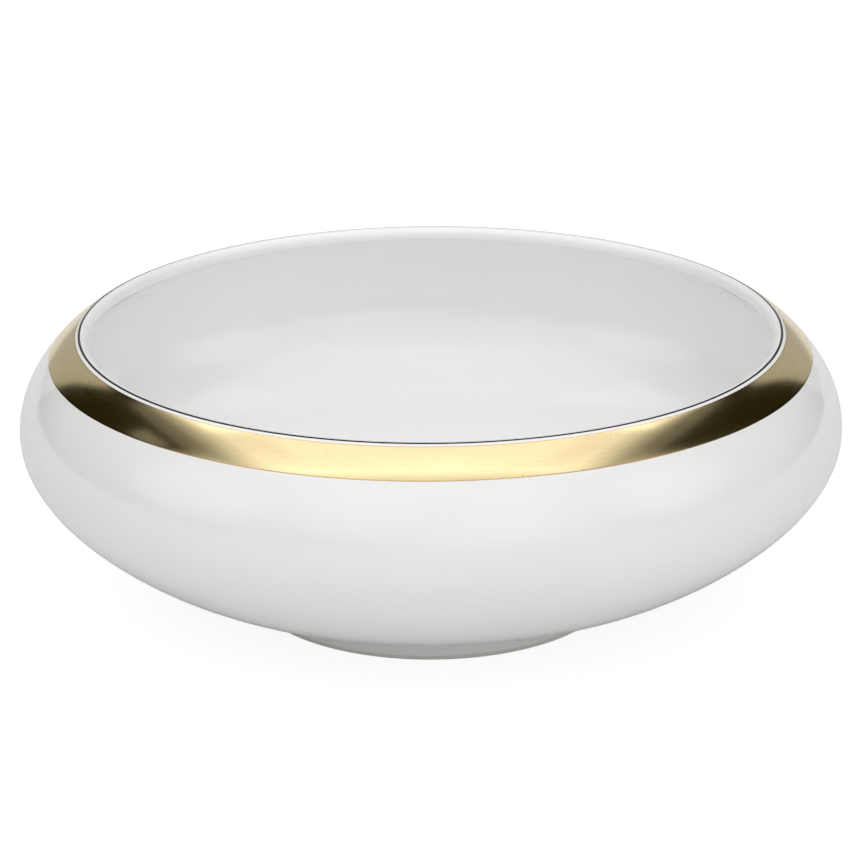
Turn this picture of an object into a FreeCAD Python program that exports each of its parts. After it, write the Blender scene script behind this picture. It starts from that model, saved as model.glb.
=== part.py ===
import FreeCAD, Part
import math
import os

# A deep porcelain serving bowl: a belly wider than its rim, a shoulder that leans in to a rounded lip,
# a wide gold band round the shoulder, a thin black line round the lip and a short ring to stand on.
#
# Millimetres. +Z is up, and the origin is the centre of the flat face that the foot ring stands on.
# Every piece is round about Z. Half of its section is drawn in the XZ plane as straight runs and
# tangent arcs, with the porcelain always to the left of the pen, and then turned a full circle.
# A heading is an angle in degrees from +X (outward) towards +Z (up). On the outside of the wall it
# is also the slope of the surface: 90 at the belly, more than 90 where the shoulder leans in.

# ---------------------------------------------------------------------- driving dimensions
belly_radius = 125.0            # widest point of the glazed outside
belly_height = 56.6
wall_thickness = 4.5            # glazed, from the lip down to where the floor begins
floor_height = 12.0             # top of the glazed floor at the centre

# The outside as (radius, turn) arcs, read upwards: first from the cone over the foot to the belly,
# then from the belly to the start of the lip.
cone_slope = 21.0
lower_bends = [(94.2, 9.0), (93.4, 14.0), (40.8, 20.0), (19.4, 26.0)]
upper_bends = [(29.1, 30.0), (41.4, 12.5), (48.5, 13.8)]
belly_slope = 90.0
crest_slope = 180.0             # the level line along the top of the lip
lip_outer_radius = 2.8

gold_slopes = (133.0, 146.0)    # the band lies between these slopes of the shoulder
line_slopes = (160.5, 175.5)    # the black line lies just outside the crest of the lip

crease_radius = 57.5            # where the cone would meet the outside of the foot ring
foot_outer_slope = 80.0
foot_inner_slope = 98.0
foot_face_width = 5.0           # across the foot of the ring, before its edges are rounded
foot_edge_radius = 0.9
crease_fillet = 1.2             # glaze pooled in the corner outside the ring
recess_fillet = 1.8             # glaze pooled in the corner inside the ring
glaze_start_height = 1.4        # the ring is wiped clean of glaze below this

glaze_thickness = 0.25
gold_thickness = 0.1
line_thickness = 0.1


# ---------------------------------------------------------------------- drawing a section
def along(heading):
    angle = math.radians(heading)
    return FreeCAD.Vector(math.cos(angle), 0, math.sin(angle))


def left_of(heading):
    return along(heading + 90)


def heading_between(start, end):
    return math.degrees(math.atan2(end.z - start.z, end.x - start.x))


class Pen:
    """Draws edges one after another: each stroke starts where the last one ended."""

    def __init__(self, start):
        self.start = start
        self.at = start
        self.edges = []

    def line_to(self, point):
        self.edges.append(Part.makeLine(self.at, point))
        self.at = point

    def close(self):
        self.line_to(self.start)

    def bend(self, heading, radius, turn):
        """An arc that leaves along heading and turns to the left, or to the right if turn is negative."""
        to_centre = math.copysign(radius, turn)
        centre = self.at + left_of(heading) * to_centre
        middle = centre - left_of(heading + turn / 2) * to_centre
        end = centre - left_of(heading + turn) * to_centre
        self.edges.append(Part.Arc(self.at, middle, end).toShape())
        self.at = end

    def bends(self, heading, arcs, depth=0.0):
        """A chain of tangent arcs, drawn depth below the glazed surface that they describe."""
        for radius, turn in arcs:
            self.bend(heading, radius - math.copysign(depth, turn), turn)
            heading += turn

    def round_corner(self, corner, following, radius):
        """A line towards corner and an arc into the line from there to the following point."""
        heading = heading_between(self.at, corner)
        turn = (heading_between(corner, following) - heading + 180) % 360 - 180
        reach = radius * math.tan(math.radians(abs(turn) / 2))
        self.line_to(corner - along(heading) * reach)
        self.bend(heading, radius, turn)


def turned(edges):
    """The solid that the edges of a closed section make when it is turned about the Z axis."""
    section = Part.Face(Part.Wire(Part.__sortEdges__(edges)))
    return section.revolve(FreeCAD.Vector(0, 0, 0), FreeCAD.Vector(0, 0, 1), 360)


def turned_layer(surface, underneath):
    """The solid between two drawn lines, closed by a straight line at each end."""
    ends = [Part.makeLine(surface.start, underneath.start), Part.makeLine(surface.at, underneath.at)]
    return turned(surface.edges + underneath.edges + ends)


def on_axis(height):
    return FreeCAD.Vector(0, 0, height)


def meet(point, heading, other_point, other_heading):
    """Where two straight lines cross."""
    across = left_of(other_heading)
    distance = (other_point - point).dot(across) / along(heading).dot(across)
    return point + along(heading) * distance


def at_height(point, heading, height):
    """The point of a sloping line at this height."""
    return meet(point, heading, on_axis(height), 0)


def end_of(point, heading, arcs):
    """Where a chain of tangent arcs ends."""
    pen = Pen(point)
    pen.bends(heading, arcs)
    return pen.at


# ---------------------------------------------------------------------- worked-out arcs
belly = FreeCAD.Vector(belly_radius, 0, belly_height)
origin = FreeCAD.Vector(0, 0, 0)

cone_top = belly - end_of(origin, cone_slope, lower_bends)
lip_slope = belly_slope + sum(turn for radius, turn in upper_bends)
lip_start = end_of(belly, belly_slope, upper_bends)

# The glaze of the outside and that of the inside meet under the middle of the black line.
seam_slope = sum(line_slopes) / 2
outer_lip_bends = [(lip_outer_radius, seam_slope - lip_slope)]

# The rest of the lip comes back parallel to the shoulder, one wall thickness inside it.
lip_cosine = math.cos(math.radians(crest_slope - lip_slope))
lip_inner_radius = (wall_thickness - lip_outer_radius * (1 - lip_cosine)) / (1 + lip_cosine)
inner_lip_bends = [(lip_outer_radius, crest_slope - seam_slope), (lip_inner_radius, lip_slope)]

inner_wall_bends = [(radius - wall_thickness, -turn)
                    for radius, turn in reversed(lower_bends + upper_bends)]
inner_cone_top = cone_top + left_of(cone_slope) * wall_thickness
floor_rise = 1 - math.cos(math.radians(cone_slope))
floor_bend = ((inner_cone_top.z - floor_height) / floor_rise, -cone_slope)

outside_bends = lower_bends + upper_bends + outer_lip_bends
inside_bends = inner_lip_bends + inner_wall_bends + [floor_bend]
seam = end_of(lip_start, lip_slope, outer_lip_bends)


# ---------------------------------------------------------------------- worked-out corners
# The corners of the unglazed ring and of the wall over it are sharp; glaze rounds them over.
bare_cone_top = cone_top + left_of(cone_slope) * glaze_thickness
crease = meet(cone_top, cone_slope, FreeCAD.Vector(crease_radius, 0, 0), 90)
bare_foot_wall = crease + left_of(foot_outer_slope) * glaze_thickness
bare_crease = meet(bare_cone_top, cone_slope, bare_foot_wall, foot_outer_slope)
foot_outer_corner = at_height(bare_crease, foot_outer_slope, 0)
foot_inner_corner = foot_outer_corner - FreeCAD.Vector(foot_face_width, 0, 0)

# The ring and the wall meet in one level plane, which is also the roof of the recess in the ring.
joint_height = bare_crease.z
roof_height = joint_height - glaze_thickness
bare_recess = at_height(foot_inner_corner, foot_inner_slope, joint_height)
recess_wall = bare_recess + left_of(foot_inner_slope) * glaze_thickness
recess = at_height(recess_wall, foot_inner_slope, roof_height)


# ---------------------------------------------------------------------- the pieces
def bowl_body():
    """The fired porcelain wall and floor, from the joint with the foot ring to the lip."""
    pen = Pen(bare_crease)
    pen.line_to(bare_cone_top)
    pen.bends(cone_slope, outside_bends, glaze_thickness)
    pen.bends(seam_slope, inside_bends, glaze_thickness)
    pen.line_to(on_axis(floor_height - glaze_thickness))
    pen.line_to(on_axis(joint_height))
    pen.close()
    return turned(pen.edges)


def foot_ring():
    """The fired ring under the wall. Its flat face is left bare of glaze and stands on the table."""
    pen = Pen(bare_recess)
    pen.round_corner(foot_inner_corner, foot_outer_corner, foot_edge_radius)
    pen.round_corner(foot_outer_corner, bare_crease, foot_edge_radius)
    pen.line_to(bare_crease)
    pen.close()
    return turned(pen.edges)


def outside_glaze():
    """The coat from just above the foot's bare face, over crease, belly and shoulder, to the lip."""
    surface = Pen(at_height(crease, foot_outer_slope, glaze_start_height))
    surface.round_corner(crease, cone_top, crease_fillet)
    surface.line_to(cone_top)
    surface.bends(cone_slope, outside_bends)
    bare = Pen(at_height(bare_crease, foot_outer_slope, glaze_start_height))
    bare.line_to(bare_crease)
    bare.line_to(bare_cone_top)
    bare.bends(cone_slope, outside_bends, glaze_thickness)
    return turned_layer(surface, bare)


def inside_glaze():
    """The coat from the lip down the inside to the middle of the floor."""
    surface = Pen(seam)
    surface.bends(seam_slope, inside_bends)
    surface.line_to(on_axis(floor_height))
    bare = Pen(seam + left_of(seam_slope) * glaze_thickness)
    bare.bends(seam_slope, inside_bends, glaze_thickness)
    bare.line_to(on_axis(floor_height - glaze_thickness))
    return turned_layer(surface, bare)


def underside_glaze():
    """The coat in the recess: its roof and the inside of the ring, down to just above the bare face."""
    surface = Pen(on_axis(roof_height))
    coat_end = at_height(recess, foot_inner_slope, glaze_start_height)
    surface.round_corner(recess, coat_end, recess_fillet)
    surface.line_to(coat_end)
    bare = Pen(on_axis(joint_height))
    bare.line_to(bare_recess)
    bare.line_to(at_height(bare_recess, foot_inner_slope, glaze_start_height))
    return turned_layer(surface, bare)


def thin_band(arc_start, start_slope, radius, slopes, thickness):
    """A thin ring laid on an arc of the outside, between two slopes of that arc."""
    low_slope, high_slope = slopes
    low_edge = end_of(arc_start, start_slope, [(radius, low_slope - start_slope)])
    band = [(radius, high_slope - low_slope)]
    glaze = Pen(low_edge)
    glaze.bends(low_slope, band)
    surface = Pen(low_edge - left_of(low_slope) * thickness)
    surface.bends(low_slope, band, -thickness)
    return turned_layer(surface, glaze)


def gold_band():
    """The gold laid on the glaze of the shoulder, below the lip."""
    radius, turn = upper_bends[-1]
    shoulder_start = end_of(belly, belly_slope, upper_bends[:-1])
    return thin_band(shoulder_start, lip_slope - turn, radius, gold_slopes, gold_thickness)


def rim_line():
    """The black line laid on the glaze of the lip, over the seam of the two coats."""
    return thin_band(lip_start, lip_slope, lip_outer_radius, line_slopes, line_thickness)


pieces = {
    "bowl_body": bowl_body,
    "foot_ring": foot_ring,
    "outside_glaze": outside_glaze,
    "inside_glaze": inside_glaze,
    "underside_glaze": underside_glaze,
    "gold_band": gold_band,
    "rim_line": rim_line,
}

os.makedirs("parts", exist_ok=True)
for name, make in pieces.items():
    solid = make()
    solid.exportStep("parts/" + name + ".step")
    box = solid.optimalBoundingBox()
    print(f"{name}: {solid.Volume:.0f} mm3, {2 * box.XMax:.2f} wide, z {box.ZMin:.2f} to {box.ZMax:.2f}")
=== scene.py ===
import bpy
import cmath
import math
import numpy as np
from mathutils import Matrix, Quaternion, Vector


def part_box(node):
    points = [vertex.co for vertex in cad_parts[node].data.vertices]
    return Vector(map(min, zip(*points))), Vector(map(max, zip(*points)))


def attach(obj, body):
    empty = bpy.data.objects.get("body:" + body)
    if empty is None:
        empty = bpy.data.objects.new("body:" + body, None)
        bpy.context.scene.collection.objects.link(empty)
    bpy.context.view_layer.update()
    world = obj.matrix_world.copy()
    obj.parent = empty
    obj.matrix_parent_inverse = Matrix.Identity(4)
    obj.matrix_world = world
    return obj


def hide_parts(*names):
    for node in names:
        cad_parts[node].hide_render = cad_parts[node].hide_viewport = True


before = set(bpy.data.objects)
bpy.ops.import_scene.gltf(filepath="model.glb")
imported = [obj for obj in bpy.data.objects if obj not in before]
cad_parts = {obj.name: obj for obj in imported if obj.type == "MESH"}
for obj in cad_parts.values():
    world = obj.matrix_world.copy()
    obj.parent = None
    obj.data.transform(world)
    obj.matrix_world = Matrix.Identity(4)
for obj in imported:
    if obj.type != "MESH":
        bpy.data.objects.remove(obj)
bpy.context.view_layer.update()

# A deep porcelain serving bowl. Its layers are rebuilt here as fine closed meshes on the CAD nodes'
# own surfaces: the fired body and foot ring, three coats of glaze, the gold band and the black line.
#
# Everything is round about Z, so each piece is half a section turned about the axis. A point of the
# section is a complex number in millimetres, radius + height * 1j. The pen goes round the section
# with the porcelain on its left: out along the underside, up the outside, over the lip, down inside.
# A heading is the pen's direction in degrees, 0 outward and 90 up, so on the outside of the wall it
# is also the slope of the surface.
MM = 0.001

# ---------------------------------------------------------------------- what the frame gives
glaze_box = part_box("outside_glaze")
inside_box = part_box("inside_glaze")
ring_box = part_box("foot_ring")
belly_radius = glaze_box[1].x / MM
crest_height = inside_box[1].z / MM
glaze_start_height = glaze_box[0].z / MM
joint_height = ring_box[1].z / MM
ring_radius = ring_box[1].x / MM            # of its outside, where it meets the wall

# ---------------------------------------------------------------------- the design's own arcs
wall_thickness = 4.5
glaze_thickness = 0.25
floor_height = inside_box[0].z / MM + glaze_thickness
cone_slope = 21.0
lower_bends = [(94.2, 9.0), (93.4, 14.0), (40.8, 20.0), (19.4, 26.0)]
upper_bends = [(29.1, 30.0), (41.4, 12.5), (48.5, 13.8)]
belly_slope = 90.0
crest_slope = 180.0
lip_outer_radius = 2.8
gold_slopes = (133.0, 146.0)
line_slopes = (160.5, 175.5)
foot_outer_slope = 80.0
foot_inner_slope = 98.0
foot_face_width = 5.0
foot_edge_radius = 0.9
crease_fillet = 1.2
recess_fillet = 1.8

# ---------------------------------------------------------------------- how fine the meshes are
ROUND = 224                     # quads round the axis
FINEST_TURN = 4.0               # degrees between two rings on a bend
LONGEST_STEP = 4.0              # millimetres between two rings where the wall is nearly straight
EASE = 4.0                      # millimetres over which one arc of the wall runs into the next
NOSE = 0.5                      # millimetres over which a coat of glaze thins out to its end
NOSE_STEPS = 5
BAND_STEP = 0.5                 # millimetres between two rings of the decoration
SHARP = 40.0                    # degrees between two faces that meet in a real edge
FINE = 0.05                     # millimetres between two points of the wall before any are chosen
LIP_TURN = 0.25                 # degrees between two such points of the lip
SLACK = 1e-9                    # for comparing two sums that ought to be equal


# ---------------------------------------------------------------------- drawing a section
def along(heading):
    return cmath.exp(1j * math.radians(heading))


def left_of(heading):
    return along(heading + 90)


def meet(point, heading, other_point, other_heading):
    """Where two straight lines cross."""
    off_line = ((other_point - point) / left_of(other_heading)).real
    reach = off_line / (along(heading) / left_of(other_heading)).real
    return point + along(heading) * reach


def steps_for(length, turn):
    return max(1, math.ceil(max(length / LONGEST_STEP, abs(turn) / FINEST_TURN)))


class Pen:
    """Draws points one after another: each stroke starts where the last one ended."""

    def __init__(self, start):
        self.points = [start]

    @property
    def at(self):
        return self.points[-1]

    def line_to(self, point):
        start = self.at
        count = steps_for(abs(point - start), 0)
        self.points += [start + (point - start) * i / count for i in range(1, count + 1)]

    def bend(self, heading, radius, turn):
        """An arc that leaves along heading and turns left, or right if turn is negative."""
        to_centre = math.copysign(radius, turn)
        centre = self.at + left_of(heading) * to_centre
        count = steps_for(radius * math.radians(abs(turn)), turn)
        for i in range(1, count + 1):
            self.points.append(centre - left_of(heading + turn * i / count) * to_centre)

    def round_corner(self, corner, following, radius):
        """A line towards corner and an arc into the line from there to the following point."""
        heading = math.degrees(cmath.phase(corner - self.at))
        turn = (math.degrees(cmath.phase(following - corner)) - heading + 180) % 360 - 180
        reach = radius * math.tan(math.radians(abs(turn) / 2))
        self.line_to(corner - along(heading) * reach)
        self.bend(heading, radius, turn)


def end_of(point, heading, arcs):
    """Where a chain of tangent arcs ends."""
    for radius, turn in arcs:
        centre = point + left_of(heading) * radius
        heading += turn
        point = centre - left_of(heading) * radius
    return point


def wall_curve():
    """Closely spaced points and headings of the outside, from the top of the cone to the lip.

    The heading is the running mean of the arcs' heading over EASE to each side, so the curvature
    goes smoothly from one arc to the next, and reflections run over the joints without a kink.
    """
    bends = lower_bends + upper_bends
    lengths = np.cumsum([0] + [radius * math.radians(turn) for radius, turn in bends])
    slopes = cone_slope + np.cumsum([0] + [turn for radius, turn in bends])
    run = np.arange(0, lengths[-1] + FINE / 2, FINE)
    heading = np.interp(run, lengths, slopes)
    total = np.concatenate([[0], np.cumsum((heading[1:] + heading[:-1]) / 2 * FINE)])
    reach = np.minimum(EASE, np.minimum(run, run[-1] - run)) + FINE / 4
    low = np.maximum(run - reach, 0)
    high = np.minimum(run + reach, run[-1])
    heading = (np.interp(high, run, total) - np.interp(low, run, total)) / (high - low)
    stride = np.exp(1j * np.radians((heading[1:] + heading[:-1]) / 2)) * FINE
    points = np.concatenate([[0], np.cumsum(stride)])
    return points, heading


def spaced(points, heading):
    """The numbers of the points to keep, which lie closer together where the curve bends more."""
    step = np.abs(np.diff(points))
    turn = np.abs(np.diff(heading))
    due = np.concatenate([[0], np.cumsum(np.maximum(step / LONGEST_STEP, turn / FINEST_TURN))])
    wanted = np.linspace(0, due[-1], math.ceil(due[-1]) + 1)
    return np.searchsorted(due, wanted - SLACK)


# ---------------------------------------------------------------------- the whole glazed surface
lip_slope = belly_slope + sum(turn for radius, turn in upper_bends)
seam_slope = sum(line_slopes) / 2
crest_from_lip = end_of(0, lip_slope, [(lip_outer_radius, crest_slope - lip_slope)])

wall_points, wall_slopes = wall_curve()
wall_points = wall_points + belly_radius - wall_points.real.max()
wall_points = wall_points + 1j * (crest_height - (wall_points[-1] + crest_from_lip).imag)
chosen = spaced(wall_points, wall_slopes)
outer_wall = wall_points[chosen]
inner_wall = (wall_points + wall_thickness * 1j * np.exp(1j * np.radians(wall_slopes)))[chosen]

lip_cosine = math.cos(math.radians(crest_slope - lip_slope))
lip_inner_radius = (wall_thickness - lip_outer_radius * (1 - lip_cosine)) / (1 + lip_cosine)
floor_bend_radius = (inner_wall[0].imag - floor_height) / (1 - math.cos(math.radians(cone_slope)))

bare_ring_crease = complex(ring_radius, joint_height)
foot_outer_corner = meet(bare_ring_crease, foot_outer_slope, 0, 0)
foot_inner_corner = foot_outer_corner - foot_face_width
crease = meet(outer_wall[0], cone_slope, bare_ring_crease - left_of(foot_outer_slope) * glaze_thickness,
              foot_outer_slope)
recess_wall = foot_inner_corner + left_of(foot_inner_slope) * glaze_thickness
recess = meet(recess_wall, foot_inner_slope, 1j * (joint_height - glaze_thickness), 0)


def surface_points():
    """The glazed surface in four stretches: underside, bare foot, outside up to the seam, inside.

    The foot is drawn as if its coat went on under it, one glaze thickness below the table, so that
    the bare ring inside that coat stands on the table.
    """
    inner_end = meet(recess_wall, foot_inner_slope, 1j * glaze_start_height, 0)
    outer_end = meet(crease, foot_outer_slope, 1j * glaze_start_height, 0)
    lowest_inner = meet(recess_wall, foot_inner_slope, -1j * glaze_thickness, 0)
    lowest_outer = meet(crease, foot_outer_slope, -1j * glaze_thickness, 0)
    edge_radius = foot_edge_radius + glaze_thickness
    nose = NOSE * (1 - np.cos(np.linspace(0, math.pi / 2, NOSE_STEPS + 1)))

    underside = Pen(1j * recess.imag)
    underside.round_corner(recess, inner_end, recess_fillet)
    underside.points += list(inner_end + along(foot_inner_slope) * nose[::-1])

    foot = Pen(inner_end)
    foot.round_corner(lowest_inner, lowest_outer, edge_radius)
    foot.round_corner(lowest_outer, outer_end, edge_radius)
    foot.line_to(outer_end)

    outside = Pen(outer_end)
    outside.points += list(outer_end + along(foot_outer_slope) * nose[1:])
    outside.round_corner(crease, outer_wall[0], crease_fillet)
    outside.line_to(outer_wall[0])
    outside.points += list(outer_wall[1:])
    outside.bend(lip_slope, lip_outer_radius, seam_slope - lip_slope)

    inside = Pen(outside.at)
    inside.bend(seam_slope, lip_outer_radius, crest_slope - seam_slope)
    inside.bend(crest_slope, lip_inner_radius, lip_slope)
    inside.points += list(inner_wall[::-1][1:])
    inside.bend(crest_slope + cone_slope, floor_bend_radius, -cone_slope)
    inside.line_to(1j * floor_height)
    return [pen.points for pen in (underside, foot, outside, inside)]


def left_normals(points):
    """Unit normals towards the porcelain, each the mean of its two neighbouring runs' normals."""
    runs = np.diff(points)
    runs = runs / np.abs(runs)
    mean = np.concatenate([runs[:1], runs[1:] + runs[:-1], runs[-1:]])
    return 1j * mean / np.abs(mean)


stretches = surface_points()
glazed = np.array(stretches[0] + [point for stretch in stretches[1:] for point in stretch[1:]])
inward = left_normals(glazed)
bare = glazed + inward * glaze_thickness
ends = np.cumsum([0] + [len(stretch) - 1 for stretch in stretches])
UNDERSIDE, OUTSIDE, INSIDE = [slice(ends[i], ends[i + 1] + 1) for i in (0, 2, 3)]


# ---------------------------------------------------------------------- turning a section
AZIMUTHS = np.arange(ROUND) * 2 * math.pi / ROUND


def turned(name, section, closed, from_edge=None):
    """A smooth mesh of quads from a section: rings, each one complex point or one per azimuth.

    A section that isn't closed starts and ends on the axis, where a ring is a single vertex.
    For the materials, from_edge gives each ring its distance in millimetres from a band's edge.
    """
    vertices = []
    rings = []
    ring_numbers = []
    for number, ring in enumerate(section):
        on_axis = not closed and number in (0, len(section) - 1)
        azimuths = AZIMUTHS[:1] if on_axis else AZIMUTHS
        points = np.broadcast_to(ring, azimuths.shape)
        first = len(vertices)
        rings.append([first] * ROUND if on_axis else list(range(first, first + ROUND)))
        ring_numbers += [number] * len(azimuths)
        places = [np.cos(azimuths) * points.real, np.sin(azimuths) * points.real, points.imag]
        vertices += (np.stack(places, axis=1) * MM).tolist()

    faces = []
    for low, high in zip(rings, rings[1:] + rings[:1] if closed else rings[1:]):
        for i in range(ROUND):
            j = (i + 1) % ROUND
            faces.append(list(dict.fromkeys([low[i], low[j], high[j], high[i]])))

    mesh = bpy.data.meshes.new(name)
    mesh.from_pydata(vertices, [], faces)
    mesh.shade_smooth()
    mesh.set_sharp_from_angle(angle=math.radians(SHARP))
    if from_edge is not None:
        layer = mesh.attributes.new("from_edge", "FLOAT", "POINT")
        layer.data.foreach_set("value", from_edge[ring_numbers])
    piece = bpy.data.objects.new(name, mesh)
    bpy.context.collection.objects.link(piece)
    return piece


def stand_for(node, piece, material):
    """Gives the piece its material and puts it in the place of a CAD node."""
    piece.data.materials.append(material)
    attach(piece, "root")
    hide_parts(node)


# ---------------------------------------------------------------------- the fired porcelain
def joint_rings():
    """The last bare ring inside the recess that is as high as the joint, and the first outside."""
    inside_recess = np.flatnonzero(bare[UNDERSIDE].imag > joint_height - SLACK)[-1]
    outside_crease = OUTSIDE.start + np.flatnonzero(bare[OUTSIDE].imag > joint_height)[0]
    return inside_recess, outside_crease


def joint_edge():
    """Where the level joint between foot ring and wall comes out under the crease."""
    above = joint_rings()[1]
    return meet(bare[above], math.degrees(cmath.phase(bare[above] - bare[above - 1])),
                1j * joint_height, 0)


def bowl_body(material):
    above = joint_rings()[1]
    section = [1j * joint_height, joint_edge()] + list(bare[above:])
    stand_for("bowl_body", turned("porcelain_body", section, False), material)


def foot_ring(material):
    recess_ring, above = joint_rings()
    section = list(bare[recess_ring:above]) + [joint_edge()]
    stand_for("foot_ring", turned("porcelain_foot_ring", section, True), material)


# ---------------------------------------------------------------------- the glaze
def coat(rings, wiped_end):
    """The over and under side of a coat, which thins out to a rounded nose at its wiped end."""
    under = bare[rings]
    thickness = np.full(len(under), glaze_thickness)
    if wiped_end is not None:
        share = np.clip(np.abs(under - wiped_end) / NOSE, 0, 1)
        thickness = glaze_thickness * np.sqrt(1 - (1 - share) ** 2)
    return list(under - inward[rings] * thickness), list(under)


def underside_glaze(material):
    over, under = coat(UNDERSIDE, bare[UNDERSIDE][-1])
    piece = turned("glaze_in_the_foot", over + under[-2::-1], False)
    stand_for("underside_glaze", piece, material)


def outside_glaze(material):
    over, under = coat(OUTSIDE, bare[OUTSIDE][0])
    piece = turned("glaze_outside", over + under[:0:-1], True)
    stand_for("outside_glaze", piece, material)


def inside_glaze(material):
    over, under = coat(INSIDE, None)
    piece = turned("glaze_inside", under[::-1] + over, False)
    stand_for("inside_glaze", piece, material)


# ---------------------------------------------------------------------- gold and black, banded by hand
GOLD_FILM = 0.03                # millimetres that a film stands on the glaze
LINE_FILM = 0.02
GOLD_LOW_STRAY = 0.14           # millimetres that an edge strays, more or less
GOLD_HIGH_STRAY = 0.12
LINE_STRAY = 0.10
FILM_FLATNESS = 0.2             # the lower, the more level a film is between its edges


def decorated_curve():
    """Fine points and headings of the glazed surface from the belly over the lip, and its lengths."""
    turn = np.arange(0, crest_slope - lip_slope, LIP_TURN)
    centre = wall_points[-1] + left_of(lip_slope) * lip_outer_radius
    lip_slopes = lip_slope + turn
    lip_points = centre - lip_outer_radius * 1j * np.exp(1j * np.radians(lip_slopes))
    points = np.concatenate([wall_points, lip_points[1:]])
    slopes = np.concatenate([wall_slopes, lip_slopes[1:]])
    lengths = np.concatenate([[0], np.cumsum(np.abs(np.diff(points)))])
    return points, slopes, lengths


def wavering(size, waves):
    """Millimetres by which a hand-held brush strays, at each azimuth. Each wave is count, phase."""
    strays = [np.sin(count * AZIMUTHS + phase) / math.sqrt(count) for count, phase in waves]
    return size * sum(strays) / len(strays)


def band(name, slopes, film, low_stray, high_stray):
    """A film fired on the glaze between two slopes, with its edges strayed by so many millimetres."""
    points, headings, lengths = decorated_curve()
    low, high = np.interp(slopes, headings, lengths)
    count = max(3, math.ceil((high - low) / BAND_STEP))
    shares = (1 - np.cos(np.linspace(0, math.pi, count + 1))) / 2
    over = []
    under = []
    for share in shares:
        length = low + (high - low) * share + low_stray * (1 - share) + high_stray * share
        on_glaze = np.interp(length, lengths, points.real) + 1j * np.interp(length, lengths, points.imag)
        outward = -1j * np.exp(1j * np.radians(np.interp(length, lengths, headings)))
        over.append(on_glaze + outward * film * math.sin(math.pi * share) ** FILM_FLATNESS)
        under.append(on_glaze - outward * film)
    from_edge = (high - low) * np.minimum(shares, 1 - shares)
    return turned(name, over + under[::-1], True, np.concatenate([from_edge, from_edge[::-1]]))


def gold_band(material):
    low_stray = wavering(GOLD_LOW_STRAY, [(2, 0.4), (5, 1.9), (11, 4.0), (23, 2.2)])
    high_stray = wavering(GOLD_HIGH_STRAY, [(3, 5.1), (7, 0.7), (13, 3.3), (29, 1.1)])
    piece = band("gilding", gold_slopes, GOLD_FILM, low_stray, high_stray)
    stand_for("gold_band", piece, material)


def rim_line(material):
    low_stray = wavering(LINE_STRAY, [(2, 2.8), (9, 0.2), (17, 5.4), (37, 3.0)])
    high_stray = wavering(LINE_STRAY, [(3, 1.2), (8, 4.4), (19, 2.6), (41, 0.9)])
    piece = band("enamel_line", line_slopes, LINE_FILM, low_stray, high_stray)
    stand_for("rim_line", piece, material)


# ---------------------------------------------------------------------- materials
GLAZE_IOR = 1.52
GLAZE_ROUGHNESS = 0.05
GLAZE_DULLEST = 0.085
GLAZE_WHITE = (0.954, 0.952, 0.953, 1)
GLAZE_COOL_WHITE = (0.938, 0.939, 0.943, 1)
BISCUIT_ROUGHNESS = 0.8
BISCUIT_PALE = (0.80, 0.79, 0.76, 1)
BISCUIT_CREAM = (0.74, 0.72, 0.67, 1)
BISCUIT_GREY = (0.42, 0.41, 0.39, 1)
GOLD_ROUGHNESS = 0.12
GOLD_DULLEST = 0.17
GOLD_LIGHT = (0.97, 0.80, 0.48, 1)
GOLD_DEEP = (0.95, 0.77, 0.43, 1)
GOLD_THIN = (0.55, 0.36, 0.17, 1)
ENAMEL_ROUGHNESS = 0.16
ENAMEL_SPECULAR = 0.3
ENAMEL_BLACK = (0.004, 0.004, 0.005, 1)
ENAMEL_BROWN = (0.022, 0.016, 0.013, 1)

MOST_NOISE = (0.3, 0.7)         # nearly all of a noise field lies between these
NONE_TO_ALL = (0.0, 1.0)
ALL_TO_NONE = (1.0, 0.0)


def plain_material(name, roughness, metallic=0.0):
    """A new material, its node tree and its Principled shader."""
    material = bpy.data.materials.new(name)
    material.use_nodes = True
    surface = material.node_tree.nodes["Principled BSDF"]
    surface.inputs["Roughness"].default_value = roughness
    surface.inputs["Metallic"].default_value = metallic
    return material, material.node_tree, surface


def add(tree, kind, inputs, **settings):
    """A new node. Each input is a plain value or the output that feeds it."""
    node = tree.nodes.new("ShaderNode" + kind)
    for setting, value in settings.items():
        setattr(node, setting, value)
    for name, value in inputs.items():
        if isinstance(value, bpy.types.NodeSocket):
            tree.links.new(value, node.inputs[name])
        else:
            node.inputs[name].default_value = value
    return node


def place(tree):
    """Where a point of the piece is, in metres."""
    return add(tree, "TexCoord", {}).outputs["Object"]


def place_on_wheel(tree, reach):
    """The place, drawn in to a circle reach millimetres round, so that what is on it runs in streaks."""
    outward = add(tree, "VectorMath", {0: place(tree), 1: (1, 1, 0)}, operation="MULTIPLY").outputs[0]
    outward = add(tree, "VectorMath", {0: outward}, operation="NORMALIZE").outputs[0]
    upward = add(tree, "VectorMath", {0: place(tree), 1: (0, 0, 1)}, operation="MULTIPLY").outputs[0]
    drawn_in = (reach * MM, reach * MM, 0)
    return add(tree, "VectorMath", {0: outward, 1: drawn_in, 2: upward}, operation="MULTIPLY_ADD").outputs[0]


def noise(tree, size, detail=2.0, vector=None):
    """A soft random field about 0.5, with spots about that many millimetres across."""
    inputs = {"Vector": vector or place(tree), "Scale": 1 / (size * MM), "Detail": detail}
    return add(tree, "TexNoise", inputs).outputs["Fac"]


def ranged(tree, field, before, after, course="LINEAR"):
    """The field, stretched so that the range before becomes the range after, and held to that."""
    inputs = {"Value": field, "From Min": before[0], "From Max": before[1],
              "To Min": after[0], "To Max": after[1]}
    return add(tree, "MapRange", inputs, interpolation_type=course).outputs["Result"]


def blended(tree, share, colour, other_colour):
    """The colour where the share is 0, and more of the other one up to where it is 1."""
    inputs = {0: share, 6: colour, 7: other_colour}     # 6 and 7 are a Mix node's colours
    return add(tree, "Mix", inputs, data_type="RGBA").outputs[2]


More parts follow.
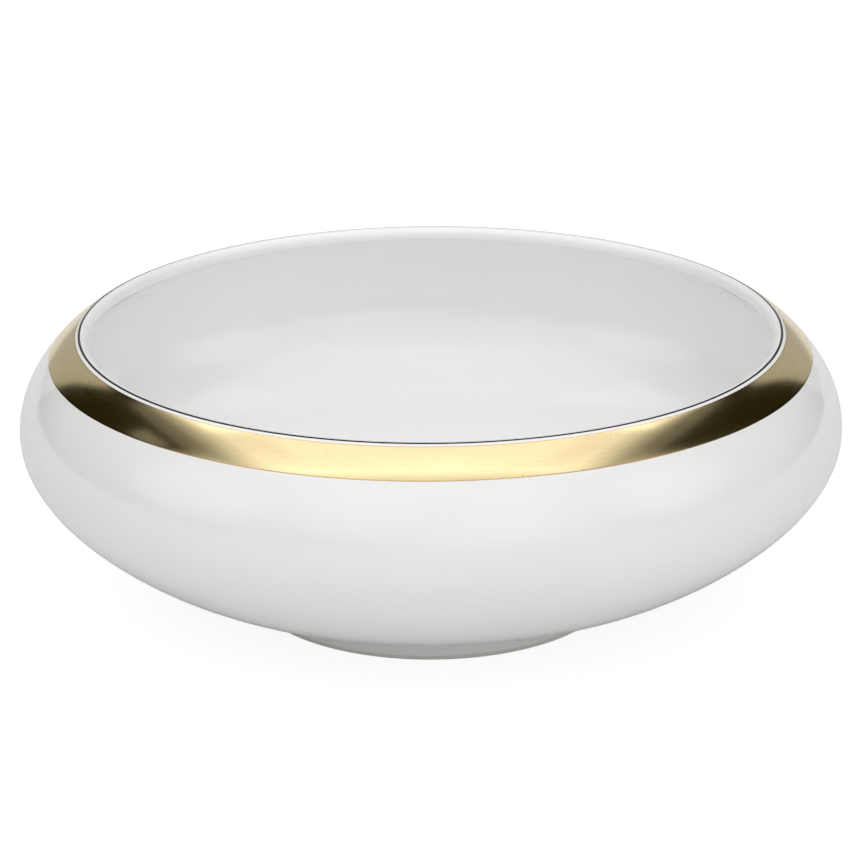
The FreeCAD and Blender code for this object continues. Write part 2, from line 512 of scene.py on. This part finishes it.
def bumped(tree, surface, heights):
    """Relief on the surface: each height is a field and the millimetres that it rises from 0 to 1."""
    relief = None
    for field, rise in heights:
        inputs = {"Height": field, "Distance": rise * MM, "Strength": 1.0}
        if relief:
            inputs["Normal"] = relief
        relief = add(tree, "Bump", inputs).outputs["Normal"]
    tree.links.new(relief, surface.inputs["Normal"])


def thin_edge(tree, grain, raggedness, width, most):
    """How thin a film is: most at its ragged edge, and not at all so many millimetres in from there."""
    from_edge = add(tree, "Attribute", {}, attribute_name="from_edge").outputs["Fac"]
    lost = ranged(tree, noise(tree, grain), MOST_NOISE, (0.0, raggedness))
    left = add(tree, "Math", {0: from_edge, 1: lost}, operation="SUBTRACT").outputs[0]
    return ranged(tree, left, (0.0, width), (most, 0.0))


def white_glaze():
    """Clear glaze on white porcelain: glossy, with faint orange peel and slow ripples from the wheel."""
    material, tree, surface = plain_material("white glaze", GLAZE_ROUGHNESS)
    surface.inputs["IOR"].default_value = GLAZE_IOR
    drift = ranged(tree, noise(tree, size=45.0), MOST_NOISE, NONE_TO_ALL)
    tree.links.new(blended(tree, drift, GLAZE_WHITE, GLAZE_COOL_WHITE), surface.inputs["Base Color"])
    patches = noise(tree, size=14.0, detail=4.0)
    gloss = ranged(tree, patches, MOST_NOISE, (GLAZE_ROUGHNESS, GLAZE_DULLEST))
    tree.links.new(gloss, surface.inputs["Roughness"])
    orange_peel = noise(tree, size=4.0, detail=1.0)
    ripples = noise(tree, size=26.0, detail=1.0, vector=place_on_wheel(tree, reach=30.0))
    bumped(tree, surface, [(orange_peel, 0.004), (ripples, 0.03)])
    return material


def biscuit():
    """Unglazed porcelain: matte, fine grained, and greyed by shelves and tables on its flat face."""
    material, tree, surface = plain_material("biscuit", BISCUIT_ROUGHNESS)
    grain = noise(tree, size=0.35, detail=3.0)
    clean = blended(tree, ranged(tree, grain, MOST_NOISE, NONE_TO_ALL), BISCUIT_PALE, BISCUIT_CREAM)
    height = add(tree, "SeparateXYZ", {0: place(tree)}).outputs["Z"]
    on_face = ranged(tree, height, (0.05 * MM, 0.35 * MM), ALL_TO_NONE)
    scuffed = ranged(tree, noise(tree, size=3.0, detail=5.0), (0.42, 0.62), (0.1, 0.75))
    wear = add(tree, "Math", {0: on_face, 1: scuffed}, operation="MULTIPLY").outputs[0]
    tree.links.new(blended(tree, wear, clean, BISCUIT_GREY), surface.inputs["Base Color"])
    tree.links.new(ranged(tree, wear, (0.0, 0.7), (0.85, 0.55)), surface.inputs["Roughness"])
    bumped(tree, surface, [(grain, 0.012), (noise(tree, size=1.6), 0.02)])
    return material


def gold():
    """Burnished gold: streaked round by the burnisher, thin and brown at its edges, with pinholes."""
    material, tree, surface = plain_material("gold", GOLD_ROUGHNESS, metallic=1.0)
    streaks = noise(tree, size=0.5, detail=3.0, vector=place_on_wheel(tree, reach=6.0))
    colour = blended(tree, ranged(tree, streaks, MOST_NOISE, NONE_TO_ALL), GOLD_LIGHT, GOLD_DEEP)
    cloudy = ranged(tree, noise(tree, size=16.0, detail=3.0), (0.35, 0.75), (0.0, 0.5))
    colour = blended(tree, cloudy, colour, GOLD_DEEP)
    pinhole = ranged(tree, noise(tree, size=0.7, detail=0.0), (0.855, 0.87), (0.0, 0.6))
    colour = blended(tree, pinhole, colour, GOLD_THIN)
    thin = thin_edge(tree, grain=0.3, raggedness=0.15, width=0.3, most=1.0)
    tree.links.new(blended(tree, thin, colour, GOLD_THIN), surface.inputs["Base Color"])
    gloss = ranged(tree, streaks, (0.25, 0.75), (GOLD_ROUGHNESS, GOLD_DULLEST))
    tree.links.new(gloss, surface.inputs["Roughness"])
    bumped(tree, surface, [(streaks, 0.0004), (noise(tree, size=0.45), 0.0008)])
    return material


def black_enamel():
    """Black enamel: glossy, a little thinner and browner here and there along the brush stroke."""
    material, tree, surface = plain_material("black enamel", ENAMEL_ROUGHNESS)
    surface.inputs["Specular IOR Level"].default_value = ENAMEL_SPECULAR
    strokes = noise(tree, size=2.5, detail=4.0, vector=place_on_wheel(tree, reach=60.0))
    ink = blended(tree, ranged(tree, strokes, (0.45, 0.7), (0.0, 0.6)), ENAMEL_BLACK, ENAMEL_BROWN)
    thin = thin_edge(tree, grain=0.25, raggedness=0.08, width=0.06, most=0.8)
    tree.links.new(blended(tree, thin, ink, ENAMEL_BROWN), surface.inputs["Base Color"])
    tree.links.new(ranged(tree, strokes, MOST_NOISE, (0.1, 0.24)), surface.inputs["Roughness"])
    bumped(tree, surface, [(noise(tree, size=0.6), 0.004)])
    return material


biscuit_material = biscuit()
glaze_material = white_glaze()
bowl_body(biscuit_material)
foot_ring(biscuit_material)
underside_glaze(glaze_material)
outside_glaze(glaze_material)
inside_glaze(glaze_material)
gold_band(gold())
rim_line(black_enamel())


# ---------------------------------------------------------------------- the studio
CAMERA_PLACE = Vector((-0.00015, -0.9412, 0.3898))
CAMERA_TARGET = Vector((-0.00015, 0, 0.0521))
CAMERA_LENS = 136.4             # millimetres, for a sensor CAMERA_SENSOR wide
CAMERA_SENSOR = 36.0
CAMERA_ROLL = -0.323            # degrees

WHITE = (1, 1, 1, 1)
FLOOR_REACH = 3.0               # metres from the bowl to each side
FLOOR_ROUGHNESS = 0.9
FLOOR_GREY = (0.86, 0.86, 0.86, 1)
FLOOR_WHITE = (0.3, 0.3, 0.3, 1)
FLOOR_GLOW = 0.85

LIT_POINT = Vector((0, 0, 0.06))
LAMP_DISTANCE = 1.6             # metres from there to the nearest lamp
LAMP_GAP = 0.02                 # each lamp stands this much further out, because a ray that meets
                                # two in one plane sees only the first
SOFTBOXES = [                   # name, azimuth, elevation, width, height, radiance
    ("overhead middle", -168, 84, 48, 40, 0.16),
    ("overhead core", -168, 84, 66, 54, 0.30),
    ("overhead", -168, 84, 72.5, 58, 0.32),
    ("overhead edge", -168, 84, 78, 62, 0.20),
    ("overhead rim", -168, 84, 88, 66, 0.12),
    ("overhead rear", 180, 66, 70, 24, 0.60),
    ("back wall", 180, 18, 80, 40, 0.40),
    ("left lamp", -103, 37, 6, 10, 0.18),
]
TENT_SHADE = (0.014, 0.0125, 0.001)
TENT_GLOWS = [                  # azimuth, elevation, spread, radiance
    (0, 39, 48, 1.02),
    (22, 6, 32, 0.75),
    (52, 34, 38, 0.40),
    (-52, 34, 40, 0.46),
    (72, 27, 26, 0.95),
    (-72, 27, 26, 1.00),
    (85, 5, 40, 0.20),
]


def towards(azimuth, elevation):
    """A unit vector from the bowl. Azimuth 0 is the camera's side and 90 its right, in degrees."""
    azimuth = math.radians(azimuth)
    elevation = math.radians(elevation)
    level = math.cos(elevation)
    return Vector((math.sin(azimuth) * level, -math.cos(azimuth) * level, math.sin(elevation)))


def softbox(distance, name, azimuth, elevation, width, height, radiance):
    """An area light that faces the bowl, so many degrees wide and high, and unseen by the camera."""
    light = bpy.data.lights.new(name, "AREA")
    light.shape = "RECTANGLE"
    light.size = 2 * distance * math.tan(math.radians(width / 2))
    light.size_y = 2 * distance * math.tan(math.radians(height / 2))
    light.energy = radiance * math.pi * light.size * light.size_y
    lamp = bpy.data.objects.new(name, light)
    bpy.context.collection.objects.link(lamp)
    direction = towards(azimuth, elevation)
    lamp.location = LIT_POINT + direction * distance
    lamp.rotation_euler = Vector((0, 0, 1)).rotation_difference(direction).to_euler()
    lamp.visible_camera = False


def tent():
    """The cloth round the table: dim, with soft glows where lamps shine on it, white to the camera."""
    sky = bpy.data.worlds.new("tent")
    sky.use_nodes = True
    tree = sky.node_tree
    direction = add(tree, "TexCoord", {}).outputs["Generated"]
    total = TENT_SHADE
    for azimuth, elevation, spread, radiance in TENT_GLOWS:
        nearness = add(tree, "VectorMath", {0: direction, 1: towards(azimuth, elevation)},
                       operation="DOT_PRODUCT").outputs["Value"]
        in_glow = (math.cos(math.radians(spread)), 1.0)
        glow = ranged(tree, nearness, in_glow, (0.0, radiance), "SMOOTHSTEP")
        total = add(tree, "VectorMath", {0: total, 1: glow}, operation="ADD").outputs[0]
    seen = add(tree, "LightPath", {}).outputs["Is Camera Ray"]
    tree.links.new(blended(tree, seen, total, WHITE), tree.nodes["Background"].inputs["Color"])
    bpy.context.scene.world = sky


def floor():
    """A wide pale table: white to the camera but for the bowl's soft shadow, grey to other rays."""
    corners = [(x * FLOOR_REACH, y * FLOOR_REACH, 0) for x, y in [(-1, -1), (1, -1), (1, 1), (-1, 1)]]
    mesh = bpy.data.meshes.new("floor")
    mesh.from_pydata(corners, [], [(0, 1, 2, 3)])
    plane = bpy.data.objects.new("floor", mesh)
    bpy.context.collection.objects.link(plane)
    material, tree, surface = plain_material("table", FLOOR_ROUGHNESS)
    surface.inputs["Specular IOR Level"].default_value = 0.0
    seen = add(tree, "LightPath", {}).outputs["Is Camera Ray"]
    tree.links.new(blended(tree, seen, FLOOR_GREY, FLOOR_WHITE), surface.inputs["Base Color"])
    surface.inputs["Emission Color"].default_value = WHITE
    glow = ranged(tree, seen, NONE_TO_ALL, (0.0, FLOOR_GLOW))
    tree.links.new(glow, surface.inputs["Emission Strength"])
    mesh.materials.append(material)


def camera():
    """A long lens, rolled a little, that looks down on the bowl from about 20 degrees."""
    view = bpy.data.cameras.new("camera")
    view.lens = CAMERA_LENS
    view.sensor_width = CAMERA_SENSOR
    taker = bpy.data.objects.new("camera", view)
    bpy.context.collection.objects.link(taker)
    taker.location = CAMERA_PLACE
    level = (CAMERA_TARGET - CAMERA_PLACE).to_track_quat("-Z", "Y")
    taker.rotation_euler = (level @ Quaternion((0, 0, 1), math.radians(CAMERA_ROLL))).to_euler()
    bpy.context.scene.camera = taker


for number, settings in enumerate(SOFTBOXES):
    softbox(LAMP_DISTANCE + LAMP_GAP * number, *settings)
tent()
floor()
camera()
bpy.context.scene.view_settings.view_transform = "Standard"
